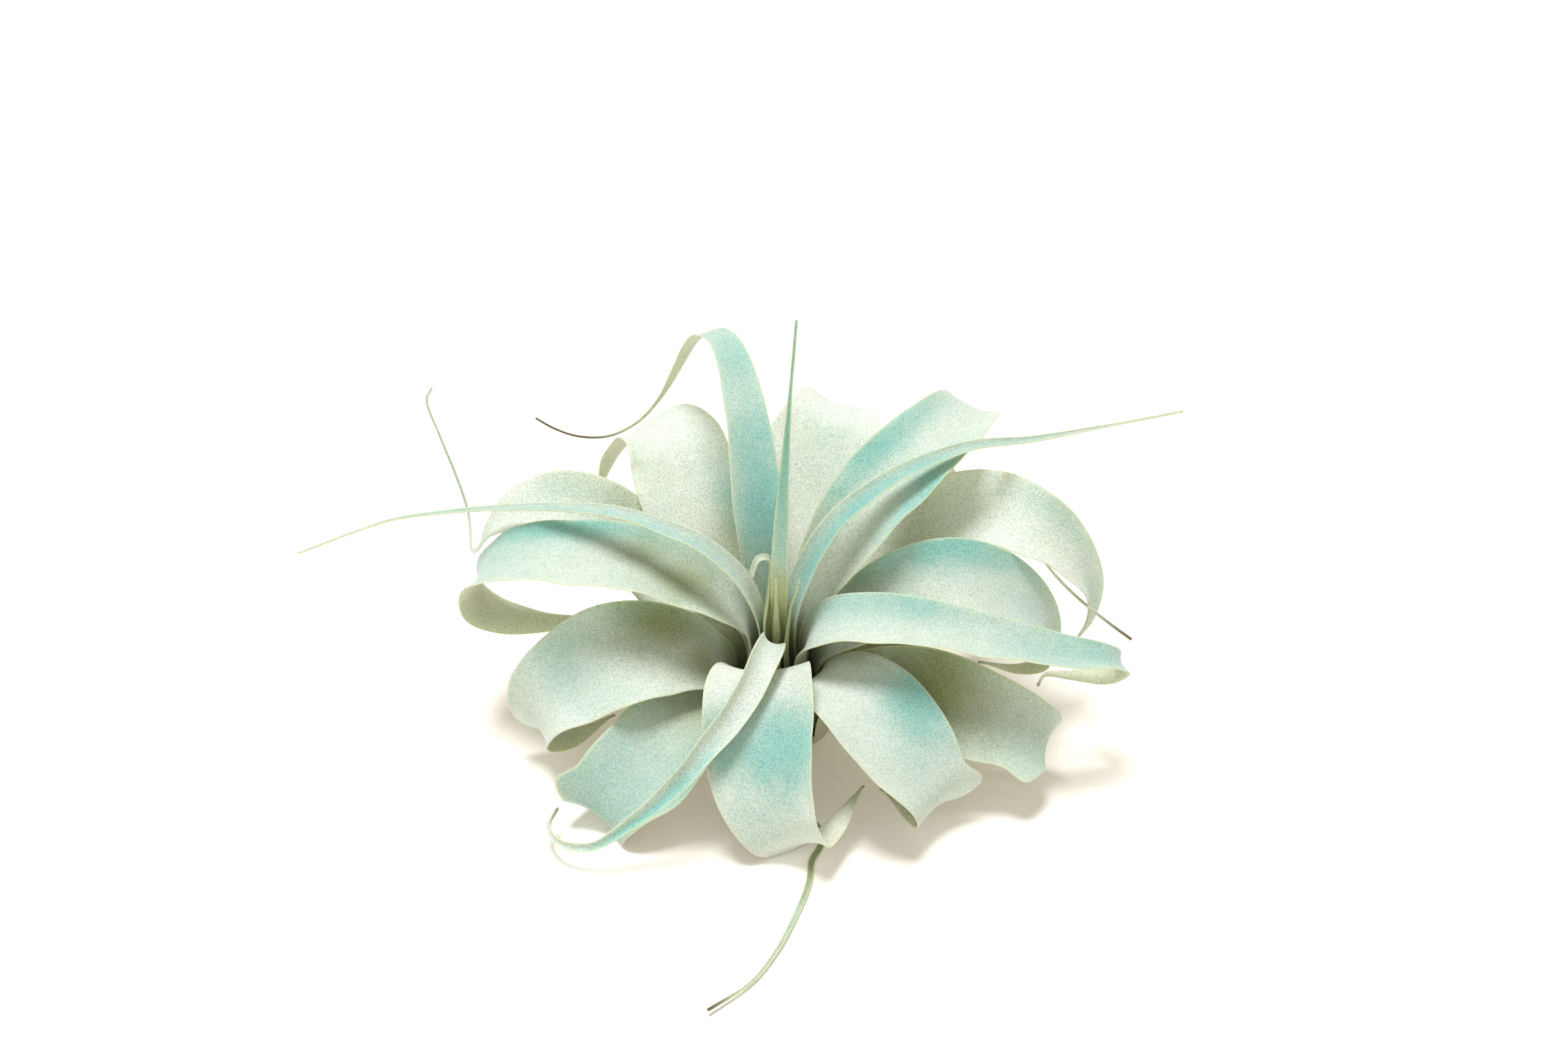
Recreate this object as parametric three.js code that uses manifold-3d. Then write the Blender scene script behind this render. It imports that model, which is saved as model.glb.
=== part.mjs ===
// A xerographica air plant: strap leaves that recurve from a short stem, one closed body per leaf.
// Millimetres, z up, the underside of the stem at the origin, the plant leaning towards -y.
import * as THREE from "three";
import { mergeVertices } from "three/addons/utils/BufferGeometryUtils.js";
import Module from "manifold-3d";

// ---- driving dimensions -------------------------------------------------------------------------
const LEAN = 18; // degrees the plant's axis leans towards -y
const BLADE = 1.3; // leaf thickness along the middle
const EDGE = 0.8; // leaf thickness at the margins and in the tails
const STATION = 5; // spacing of the rings of points along a leaf
const FINEST = 16; // fewest rings a leaf is given
const SPREAD = 0.47; // most half width a leaf has per millimetre from the axis
const STEM_TOP = 28;
const STEM_LOW = -10; // below the flat the stem is cut to
const STEM_SLOPE = 0.7; // stem radius gained per millimetre down
const STEM_TIP = 1.9;
const FLAT_SIZE = 160; // side of the block that cuts the flat underside

// Leaf bases sit in a spiral down the stem: the higher the rank, the lower and wider the seat.
const seat = (rank) => [3 + 0.7 * rank, 29 - rank];

// Each leaf grows from its seat at a compass heading (degrees, 0 = +x, 90 = away from the front).
// A spine knot is [reach, height, sideways]: out along the heading, up the plant's axis, and across.
// width = full width across; channel = half angles of the gutter at mid leaf and at the tip;
// horn = where the margins stand out at the fold, by how much on the minus and plus sides, and over
// what share of the length;
// blade = share of the length before the thread-like tail; tail = its width.
const LEAVES = [
  { name: "spear", tone: "young", az: -90, base: [0, 30], width: 6, channel: [60, 80], open: 0.2,
    taper: 1.3, spread: 9,
    spine: [[0, 48], [0, 62], [-1, 76], [-2, 88]] },
  { name: "curl_small", tone: "young", az: 165, base: [5, 27], width: 8, channel: [45, 40],
    taper: 3, tip: 2.4,
    spine: [[5, 48, -1], [5, 62, -2], [5, 68, -5], [5, 78, -9], [6, 85, -12], [9, 87, -10],
      [11, 80, -7]] },
  { name: "teal_small", tone: "young", az: -8, base: [5, 27], width: 8, channel: [40, 60], taper: 1.6,
    spine: [[4, 48], [4, 60, 2], [5, 70, 4], [7, 79, 4], [8, 86, 4]] },
  { name: "needle", tone: "young", az: 78, base: [5.5, 27], width: 14, channel: [40, 70], open: 0.25,
    taper: 1, spread: 0.3,
    spine: [[5, 55], [6, 75], [9, 108], [19, 150], [38, 185, 1]] },
  { name: "ribbon", az: 104, rank: 9, width: 24, channel: [22, 30], open: 0.25, taper: 1.7,
    blade: 0.88, tail: 4, spread: 0.34,
    spine: [[10, 50], [16, 66], [26, 86], [43, 103, -2], [68, 114, -4], [92, 115, -3], [105, 107, 1],
      [113, 93, 5.5], [116, 77, 11], [117, 61, 18], [116, 50, 28], [115, 46, 40], [117, 47, 52],
      [121, 50, 61], [126, 52, 67]] },
  { name: "long_left", az: 158, rank: 7.4, width: 14, spread: 0.3, channel: [50, 80], open: 0.2,
    taper: 0.95,
    spine: [[7, 58, -1], [16, 79, -3], [31, 90, -4], [46, 93, -4], [65, 91, -5], [85, 84, -5],
      [110, 72, -5], [133, 61, -3], [159, 48, 1], [174, 40, 7], [194, 30, 18]] },
  { name: "long_right", az: 41, rank: 6.5, width: 15, spread: 0.35, channel: [50, 80], open: 0.2,
    taper: 1.05,
    spine: [[10, 60, 2], [20, 75, 5], [36, 89, 6], [60, 96, 3], [90, 94, -3], [119, 82, -10],
      [155, 67, -16], [192, 54, -24]] },
  { name: "ribbon_front", az: -112, rank: 8, width: 15, channel: [62, 48], spread: 0.42, taper: 2, tip: 3.2,
    spine: [[8, 56], [10, 65, 2], [20, 67, 3], [38, 62, 1], [56, 55.5, -5], [73, 47.5, -13],
      [86, 40, -23], [94.5, 35, -32], [96, 32, -43], [90, 29, -51], [83, 30, -51]] },
  { name: "strap_left", az: 165, rank: 11.5, width: 34, channel: [26, 40], taper: 4.1, spread: 0.55,
    roll: [0, 5, 5, 0],
    spine: [[13, 56, -4], [27, 70, -3], [45, 77, -3], [66, 78, -1], [92, 72], [108, 61, -1], [117, 47],
      [117, 36, 1], [109, 29, 0], [96, 27, -2], [82, 29, -4], [68, 33, -6]] },
  { name: "strap_right", az: -5, rank: 11, width: 26, channel: [30, 50], roll: [0, -10, -10, 0],
    taper: 3, spread: 0.75,
    spine: [[13, 57], [23, 67, -1], [37, 70, -1], [57, 70, -2], [81, 65, -2], [105, 57],
      [122, 51, 3], [127, 44, 6], [123, 37, 6], [110, 35, 6], [100, 37, 4], [97, 40, -3]] },
  { name: "front", az: -93, rank: 15, width: 43, channel: [26, 40], taper: 5, spread: 1,
    roll: [0, 0, 0, 10, 34, 50],
    spine: [[15, 46, -2], [19, 55, -4], [31, 57, -4], [47, 53.5, -3], [59, 48.5], [67, 43, 4],
      [72.5, 37.5, 9], [71.5, 32, 14], [64.5, 30.5, 21], [56, 31.5, 28], [48.5, 33.5, 34]] },
  { name: "broad_up_right", az: 49.5, rank: 13.6, width: 37, channel: [24, 45], taper: 4, spread: 0.37,
    blade: 0.72, tail: 2.2,
    spine: [[15, 50], [31, 71], [52, 86, -1], [76, 90, -2], [99, 87, -1], [114, 81, 1], [118, 73, 5],
      [112, 64, 10], [104, 57, 6], [100, 52, -14], [99, 49, -42], [96, 44, -57], [94, 42, -70],
      [93, 41, -85], [93, 40, -95]] },
  { name: "broad_up_left", az: 114, rank: 17, width: 46.4, channel: [18, 30], spread: 0.4,
    roll: [0, -4, -10, -4, 14, 20], taper: 4.4,
    spine: [[15, 40], [28, 49, 2], [49, 56, 4], [70, 64, 5], [86, 70, 4], [97, 68.5, 6], [105, 61, 12],
      [107, 51, 21], [104, 43, 28], [98, 37, 34]] },
  { name: "broad_right", az: 14.5, rank: 18.4, width: 42, channel: [22, 50],
    roll: [0, 8, 19, 15, 10, 0], taper: 3, spread: 0.37,
    spine: [[16, 42], [33, 58], [52, 67, -1], [71, 68, -3], [90, 57, -6], [101, 42, -12],
      [101, 27, -16], [92, 19, -13], [78, 19, -7]] },
  { name: "broad_low_left", az: 189, rank: 19.3, spread: 0.44, width: 48, channel: [23, 44],
    roll: [0, -12, -16, 0], taper: 4.2,
    spine: [[18, 36], [25, 47.5, 2], [38, 55, 1], [60, 56, 1], [75, 48, 2], [88, 38, 5],
      [90, 27, 8], [80, 21, 8], [62, 23, 4]] },
  { name: "broad_low_right", az: -47, rank: 20, width: 48, channel: [20, 26], roll: [0, 2, 2, 0, 0],
    taper: 4.6, spread: 0.52, horn: [0.8, 0, 7, 0.025],
    spine: [[17, 38, 1], [24, 49, 3], [40, 55, 3], [58, 52, 3], [72, 45, 3], [80, 38, 3], [81, 32, 2],
      [76, 27, 0], [60, 25, -4]] },
  { name: "back", az: 76, rank: 20.5, width: 56, channel: [14, 28], roll: [0, 0, 2, 0], taper: 3.6,
    spine: [[18, 38, 1], [36, 50, 3], [56, 60, 4.5], [73, 70, 2], [88, 76, 0], [98, 73, -1],
      [104, 60, -2], [102, 48, -3], [92, 42, -4]] },
  { name: "lower_left", az: -133, rank: 22.5, width: 46, channel: [25, 35], taper: 4,
    horn: [0.72, 5, 0, 0.025], roll: [0, 0, -4, -16, -24, -20],
    spine: [[20, 32], [31, 41, -1], [48, 44, -2], [64, 39.5, -3], [76, 36, -5], [83, 32, -6],
      [86, 27, -7], [81, 23, -10], [72, 26, -17], [61, 31, -25]] },
  { name: "upper_right", az: 33, rank: 23.5, width: 35, channel: [22, 50], roll: [0, 6, 14, 0],
    taper: 4.8,
    spine: [[20, 31], [43, 47, 8], [71, 62, 7], [92, 69, -3.5], [104, 67, -19], [112, 56, -31],
      [116, 43, -39], [112, 32, -45], [103, 26, -48]] },
  { name: "upper_left", az: 155, rank: 23.5, width: 44, channel: [20, 50],
    roll: [0, 8, 8, -14, -16, 0, 0, 0], taper: 4, blade: 0.66, tail: 3, spread: 0.42,
    spine: [[20, 32], [34, 38, -4], [52, 47.5, -8], [72, 59.5, -12.5], [91, 69, -10.5], [107, 67, -5.5],
      [118, 57, 1.5], [123, 46, 6], [129, 38, 2], [137, 42, -10], [144, 53, -16], [154, 66, -23],
      [161, 78, -28], [159, 84, -30]] },
  { name: "lower_right", az: -19, rank: 25.4, width: 42, channel: [20, 34], roll: [0, 16, 14, 0],
    taper: 4, spread: 0.42, horn: [0.73, 6, 0, 0.04],
    spine: [[23, 30], [37, 42, -3], [60, 47, -3], [80, 42, -1], [97, 36, 2], [103, 31, 4], [101, 24, 4],
      [93, 20, 2], [78, 22, 1]] },
  { name: "under_front", tone: "old", az: -94, base: [23.5, 11], spread: 0.3, width: 18, channel: [30,
    70], taper: 3.4, blade: 0.3,
    tail: 2.8,
    spine: [[24, 20], [32, 24, 4], [44, 21, 9], [54, 19.2, 15.5], [61, 21, 20.5], [68, 23, 20.5],
      [75, 25.5, 18], [86, 29.5, 17.5], [101, 34, 14], [119, 40, 8], [132, 44, 1], [145, 49, -12]] },
  { name: "under_back", tone: "old", az: 103, rank: 26.5, width: 36, channel: [22, 60], taper: 3,
    spine: [[23, 22], [44, 34], [66, 44], [84, 46], [96, 36], [96, 22], [84, 8]] },
  { name: "under_left", tone: "old", az: 172, rank: 28, width: 36, channel: [22, 60], taper: 3,
    spine: [[24, 18], [44, 26], [62, 28], [76, 22], [80, 12], [72, 6], [58, 8]] },
  { name: "under_right", tone: "old", az: 28, rank: 28.5, width: 36, channel: [22, 60], taper: 3,
    spine: [[24, 18], [46, 28], [66, 32], [82, 26], [86, 14], [78, 4], [62, 4]] },
];

// ---- helpers ------------------------------------------------------------------------------------
const radians = (degrees) => (degrees * Math.PI) / 180;

function ease(from, to, x) {
  const t = Math.min(1, Math.max(0, (x - from) / (to - from)));
  return t * t * (3 - 2 * t);
}

// A smooth value from a short list spread evenly over 0..1.
function along(values, s) {
  const x = s * (values.length - 1);
  const i = Math.min(Math.floor(x), values.length - 2);
  return values[i] + (values[i + 1] - values[i]) * ease(0, 1, x - i);
}

function seatOf(leaf) {
  return leaf.base ?? seat(leaf.rank);
}

// Half the leaf's width at s, 0 at the seat and 1 at the tip. Near the stem the leaf is kept within
// the sector it grows in, so that it shares the ring with its neighbours.
function halfWidth(leaf, s, reach) {
  const { width, taper = 2.6, blade = 1, tail = 0.9, tip = 0.9, spread = SPREAD } = leaf;
  let w = s < blade ? (width / 2) * (1 - (s / blade) ** taper) ** 1.35 : 0;
  const sector = 1.5 + spread * reach;
  w = (w * sector) / (w ** 4 + sector ** 4) ** 0.25;
  return Math.max(w, (tail / 2) * Math.sqrt(Math.max(1 - s, 0)), tip / 2);
}

// How far a margin stands out where the leaf turns over, on the minus or plus side.
function hornAt(leaf, s, x) {
  if (!leaf.horn) return 0;
  const [at, minus, plus, span] = leaf.horn;
  return (x < 0 ? minus : plus) * Math.abs(x) ** 3 * Math.exp(-(((s - at) / span) ** 2));
}

// Half the angle of the arc the cross-section follows: it hugs the stem, opens, and closes again.
function gutter(leaf, s, w) {
  const seatRadius = leaf.base ? 4 : seatOf(leaf)[0];
  const hug = Math.min(w / Math.max(seatRadius, 3), 1.35);
  const [mid, tip] = leaf.channel.map(radians);
  const opened = hug + (mid - hug) * ease(0.02, leaf.open ?? 0.3, s);
  return opened + (tip - opened) * ease(0.55, 1, s);
}

// Points, tangents and cross directions evenly spaced along a leaf's spine.
function spineOf(leaf, n) {
  const a = radians(leaf.az);
  const out = new THREE.Vector3(Math.cos(a), Math.sin(a), 0);
  const across = new THREE.Vector3(-Math.sin(a), Math.cos(a), 0);
  const knots = [[...seatOf(leaf), 0], ...leaf.spine].map(([reach, height, side = 0]) =>
    new THREE.Vector3(0, 0, height).addScaledVector(out, reach).addScaledVector(across, side));
  const curve = new THREE.CatmullRomCurve3(knots, false, "centripetal");
  curve.arcLengthDivisions = 600;
  const points = curve.getSpacedPoints(n);
  const frames = [];
  let side = across.clone();
  for (let i = 0; i <= n; i++) {
    const t = points[Math.min(i + 1, n)].clone().sub(points[Math.max(i - 1, 0)]).normalize();
    side = side.clone().addScaledVector(t, -side.dot(t)).normalize();
    frames.push({ t, side, up: t.clone().cross(side) });
  }
  return { points, frames, length: curve.getLength() };
}

// One leaf as a closed body: rings of points along the spine, top face then underside.
function leafGeometry(leaf) {
  const length = spineOf(leaf, 40).length;
  const n = Math.max(FINEST, Math.round(length / STATION));
  const columns = leaf.width > 30 ? 4 : leaf.width > 16 ? 3 : 2;
  const { points, frames } = spineOf(leaf, n);
  const position = [];
  for (let i = 0; i <= n; i++) {
    const s = i / n;
    const w = halfWidth(leaf, s, Math.hypot(points[i].x, points[i].y));
    const k = gutter(leaf, s, w);
    const roll = radians(along(leaf.roll ?? [0, 0], s));
    const side = frames[i].side.clone().multiplyScalar(Math.cos(roll))
      .addScaledVector(frames[i].up, Math.sin(roll));
    const up = frames[i].up.clone().multiplyScalar(Math.cos(roll))
      .addScaledVector(frames[i].side, -Math.sin(roll));
    for (const face of [1, -1])
      for (let j = 0; j <= columns; j++) {
        const x = face * ((2 * j) / columns - 1);
        const angle = k * x;
        const out = hornAt(leaf, s, x);
        const full = Math.min(1, w / 8);
        const thick = EDGE + (BLADE - EDGE) * full * (1 - x * x);
        const p = points[i].clone()
          .addScaledVector(side, (w * Math.sin(angle)) / k + out * Math.sign(x) * Math.cos(angle))
          .addScaledVector(up, (w * (1 - Math.cos(angle))) / k + out * Math.abs(Math.sin(angle)))
          .addScaledVector(side, (-Math.sin(angle) * face * thick) / 2)
          .addScaledVector(up, (Math.cos(angle) * face * thick) / 2);
        leanOver(p);
        position.push(p.x, p.y, Math.max(p.z, 0));
      }
  }
  const ring = 2 * (columns + 1);
  const index = [];
  for (let i = 0; i < n; i++)
    for (let j = 0; j < ring; j++) {
      const a = i * ring + j, b = i * ring + ((j + 1) % ring);
      index.push(a, b + ring, b, a, a + ring, b + ring);
    }
  for (let j = 0; j < columns; j++) {
    const c = ring - 1 - j, last = n * ring;
    index.push(j, j + 1, c, j + 1, c - 1, c);
    index.push(last + j, last + c, last + j + 1, last + j + 1, last + c, last + c - 1);
  }
  const geometry = new THREE.BufferGeometry();
  geometry.setAttribute("position", new THREE.Float32BufferAttribute(position, 3));
  geometry.setIndex(index);
  geometry.computeVertexNormals();
  return geometry;
}

// Leans a point of the upright plant towards -y about the underside of the stem.
const LEAN_AXIS = new THREE.Vector3(1, 0, 0);
function leanOver(p) {
  return p.applyAxisAngle(LEAN_AXIS, radians(LEAN));
}

// ---- the stem: a cone cut flat where it rests ---------------------------------------------------
const wasm = await Module();
wasm.setup();

function solid(geometry) {
  const bare = geometry.clone();
  bare.deleteAttribute("normal");
  bare.deleteAttribute("uv");
  const merged = mergeVertices(bare, 1e-3);
  return new wasm.Manifold(new wasm.Mesh({
    numProp: 3,
    vertProperties: merged.getAttribute("position").array,
    triVerts: new Uint32Array(merged.index.array),
  }));
}

function fromSolid(made) {
  const mesh = made.getMesh();
  const geometry = new THREE.BufferGeometry();
  const place = new THREE.Float32BufferAttribute(mesh.vertProperties, 3);
  geometry.setAttribute("position", place);
  geometry.setIndex(new THREE.BufferAttribute(mesh.triVerts, 1));
  geometry.computeVertexNormals();
  return geometry;
}

function stemGeometry() {
  const height = STEM_TOP - STEM_LOW;
  const cone = new THREE.CylinderGeometry(STEM_TIP, STEM_TIP + STEM_SLOPE * height, height, 40);
  cone.rotateX(Math.PI / 2).translate(0, 0, (STEM_TOP + STEM_LOW) / 2).rotateX(radians(LEAN));
  const below = new THREE.BoxGeometry(FLAT_SIZE, FLAT_SIZE, FLAT_SIZE);
  below.translate(0, 0, -FLAT_SIZE / 2);
  return fromSolid(solid(cone).subtract(solid(below)));
}

// ---- assembly -----------------------------------------------------------------------------------
const TONES = { blade: 0xc3d3c0, young: 0xb4bd84, old: 0xbab89d };
const leafMaterial = (tone = "blade") =>
  new THREE.MeshStandardMaterial({ color: TONES[tone], roughness: 0.9, metalness: 0 });
const stemMaterial = new THREE.MeshStandardMaterial({ color: 0x8b7a58, roughness: 0.95, metalness: 0 });

const root = new THREE.Group();
root.name = "xerographica";
function add(name, geometry, material) {
  const mesh = new THREE.Mesh(geometry, material);
  mesh.name = name;
  root.add(mesh);
}
add("stem", stemGeometry(), stemMaterial);
for (const leaf of LEAVES) add(`leaf_${leaf.name}`, leafGeometry(leaf), leafMaterial(leaf.tone));

export default root;
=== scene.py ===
# A xerographica air plant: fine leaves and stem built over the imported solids, on a plain stage.
import math

import bmesh
import bpy
import numpy as np
from mathutils import Matrix, Vector


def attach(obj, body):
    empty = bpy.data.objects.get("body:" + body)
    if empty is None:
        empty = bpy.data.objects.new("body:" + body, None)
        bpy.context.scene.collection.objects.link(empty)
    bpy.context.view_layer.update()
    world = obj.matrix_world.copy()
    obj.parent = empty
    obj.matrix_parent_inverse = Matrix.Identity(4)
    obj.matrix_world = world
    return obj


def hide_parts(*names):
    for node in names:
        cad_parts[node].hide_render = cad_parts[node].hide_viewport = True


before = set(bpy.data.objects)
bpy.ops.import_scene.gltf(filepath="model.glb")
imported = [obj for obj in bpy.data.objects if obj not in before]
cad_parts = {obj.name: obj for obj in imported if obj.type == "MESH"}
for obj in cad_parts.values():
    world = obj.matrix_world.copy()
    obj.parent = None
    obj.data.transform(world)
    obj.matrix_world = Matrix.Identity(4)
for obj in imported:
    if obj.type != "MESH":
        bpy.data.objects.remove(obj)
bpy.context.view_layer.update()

bl_info = {
    "name": "Xerographica Air Plant",
    "version": (1, 0, 0),
    "blender": (4, 5, 0),
    "location": "3D View > Sidebar > Air Plant",
    "description": "Builds a silvery air plant leaf by leaf, with its stem and a plain stage",
    "category": "Add Mesh",
}

MM = 0.001  # the table and the leaf formulas are in millimetres, finished meshes in metres
MM_PER_CM = 10  # the map and the attribute that run along a leaf count in centimetres

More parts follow.
